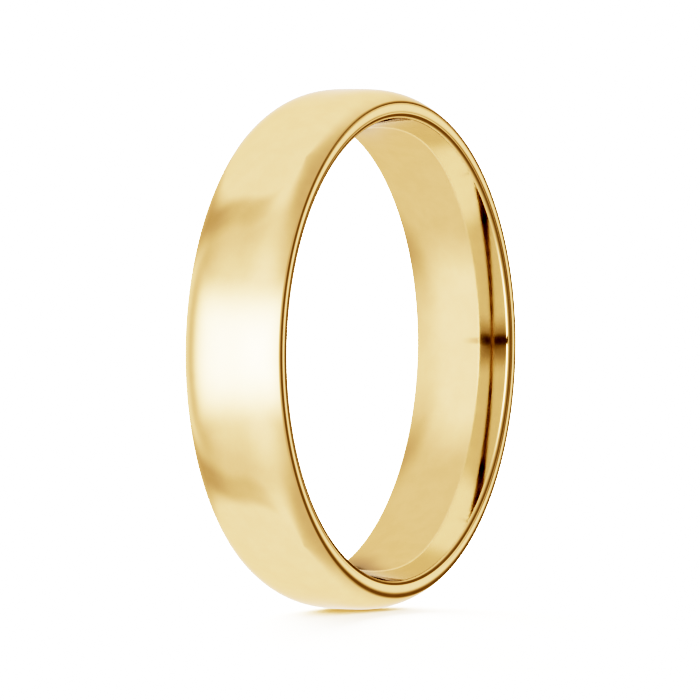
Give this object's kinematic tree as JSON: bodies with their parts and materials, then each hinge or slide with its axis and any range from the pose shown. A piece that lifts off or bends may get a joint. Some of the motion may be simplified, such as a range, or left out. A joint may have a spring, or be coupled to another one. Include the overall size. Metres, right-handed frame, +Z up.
{
  "type": "wedding band",
  "caption": "Plain ring in polished yellow gold, domed outside and rounded inside, with a narrow flat land on each side. Worn on a finger.",
  "frame": {"origin": "centre of the finger hole, at mid-width", "axes": "+Y along the band's axis, +Z up, so that the band stands on its rim"},
  "size_m": [0.0194, 0.004, 0.0194],
  "materials": {
    "yellow_gold": "polished 14 karat yellow gold"
  },
  "bodies": {
    "root": {"band": "yellow_gold"}
  },
  "joints": []
}
